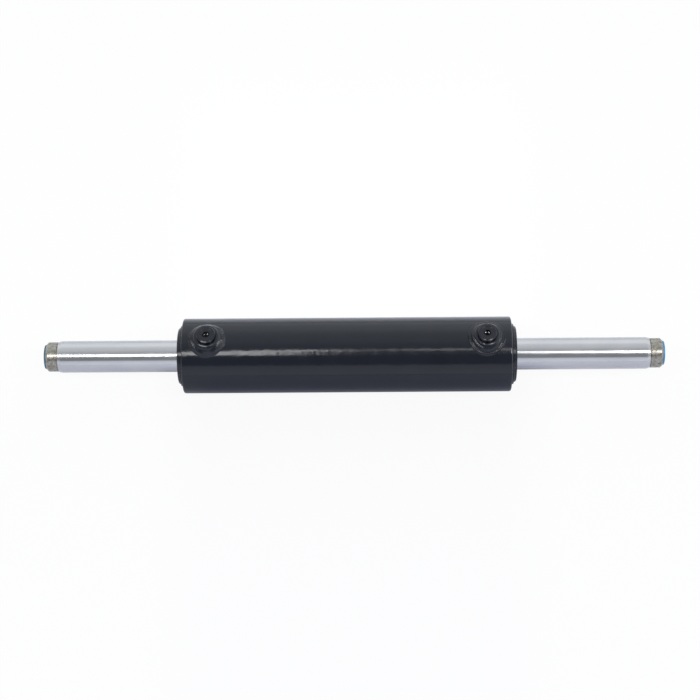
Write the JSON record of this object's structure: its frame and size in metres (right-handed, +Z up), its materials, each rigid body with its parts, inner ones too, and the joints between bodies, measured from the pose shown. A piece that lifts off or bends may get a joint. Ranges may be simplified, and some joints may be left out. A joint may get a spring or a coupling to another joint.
{
  "type": "double-rod hydraulic cylinder",
  "caption": "Double-acting hydraulic cylinder with a rod out of both ends, plugged ports on top of the barrel and threaded, protected rod ends.",
  "frame": {"origin": "on the surface the cylinder lies on, under the middle of the rod with its end protectors", "axes": "+X along the rod towards the right-hand end, +Z up out of the ports, +Y away from the picture's side"},
  "size_m": [0.6254, 0.0756, 0.0856],
  "materials": {
    "black_paint": "gloss black enamel over steel",
    "hard_chrome": "ground and polished hard chrome",
    "ductile_iron": "turned",
    "spring_steel": "phosphated",
    "nitrile": "matte black",
    "polyurethane": "satin blue",
    "bronze_ptfe": "satin brown filled fluoropolymer",
    "guide_resin": "fabric-reinforced phenolic",
    "white_ptfe": "waxy white",
    "blue_plastic": "moulded soft polyethylene"
  },
  "bodies": {
    "barrel": {"barrel_tube": "black_paint", "left_gland": "black_paint", "right_gland": "black_paint", "left_port_boss": "black_paint", "right_port_boss": "black_paint", "left_rod_wiper": "nitrile", "right_rod_wiper": "nitrile", "left_rod_seal": "polyurethane", "right_rod_seal": "polyurethane", "left_rod_guide_ring": "guide_resin", "right_rod_guide_ring": "guide_resin", "left_gland_oring": "nitrile", "right_gland_oring": "nitrile", "left_gland_backup_ring": "white_ptfe", "right_gland_backup_ring": "white_ptfe"},
    "piston": {"piston": "ductile_iron", "piston_seal": "bronze_ptfe", "piston_seal_energizer": "nitrile", "piston_bore_oring": "nitrile", "left_piston_wear_ring": "guide_resin", "right_piston_wear_ring": "guide_resin"},
    "rod": {"rod": "hard_chrome", "left_piston_lock_ring": "spring_steel", "right_piston_lock_ring": "spring_steel"},
    "left_plug_oring": {"left_port_plug_oring": "nitrile"},
    "left_plug": {"left_port_plug": "black_paint"},
    "right_plug_oring": {"right_port_plug_oring": "nitrile"},
    "right_plug": {"right_port_plug": "black_paint"},
    "left_protector": {"left_rod_end_protector": "blue_plastic"},
    "right_protector": {"right_rod_end_protector": "blue_plastic"}
  },
  "joints": [
    {"name": "rod_stroke", "type": "slide", "parent": "barrel", "child": "piston", "axis": [1, 0, 0], "range_m": [-0.1068, 0.0932]},
    {"name": "rod_spin", "type": "hinge", "parent": "piston", "child": "rod", "pos_m": [0, 0, 0.03785], "axis": [1, 0, 0], "continuous": true},
    {"name": "left_plug_lift", "type": "slide", "parent": "barrel", "child": "left_plug_oring", "axis": [0, 0, 1], "range_m": [0, 0.0121]},
    {"name": "left_plug_turn", "type": "hinge", "parent": "left_plug_oring", "child": "left_plug", "pos_m": [-0.1463, 0, 0.08155], "axis": [0, 0, 1], "range_deg": [0, 2880]},
    {"name": "right_plug_lift", "type": "slide", "parent": "barrel", "child": "right_plug_oring", "axis": [0, 0, 1], "range_m": [0, 0.0121]},
    {"name": "right_plug_turn", "type": "hinge", "parent": "right_plug_oring", "child": "right_plug", "pos_m": [0.1327, 0, 0.08155], "axis": [0, 0, 1], "range_deg": [0, 2880]},
    {"name": "left_protector_pull", "type": "slide", "parent": "rod", "child": "left_protector", "axis": [-1, 0, 0], "range_m": [0, 0.014]},
    {"name": "right_protector_pull", "type": "slide", "parent": "rod", "child": "right_protector", "axis": [1, 0, 0], "range_m": [0, 0.014]}
  ],
  "couplings": [
    {"joint": "left_plug_lift", "follows": "left_plug_turn", "m_per_rad": 0.00023873},
    {"joint": "right_plug_lift", "follows": "right_plug_turn", "m_per_rad": 0.00023873}
  ]
}
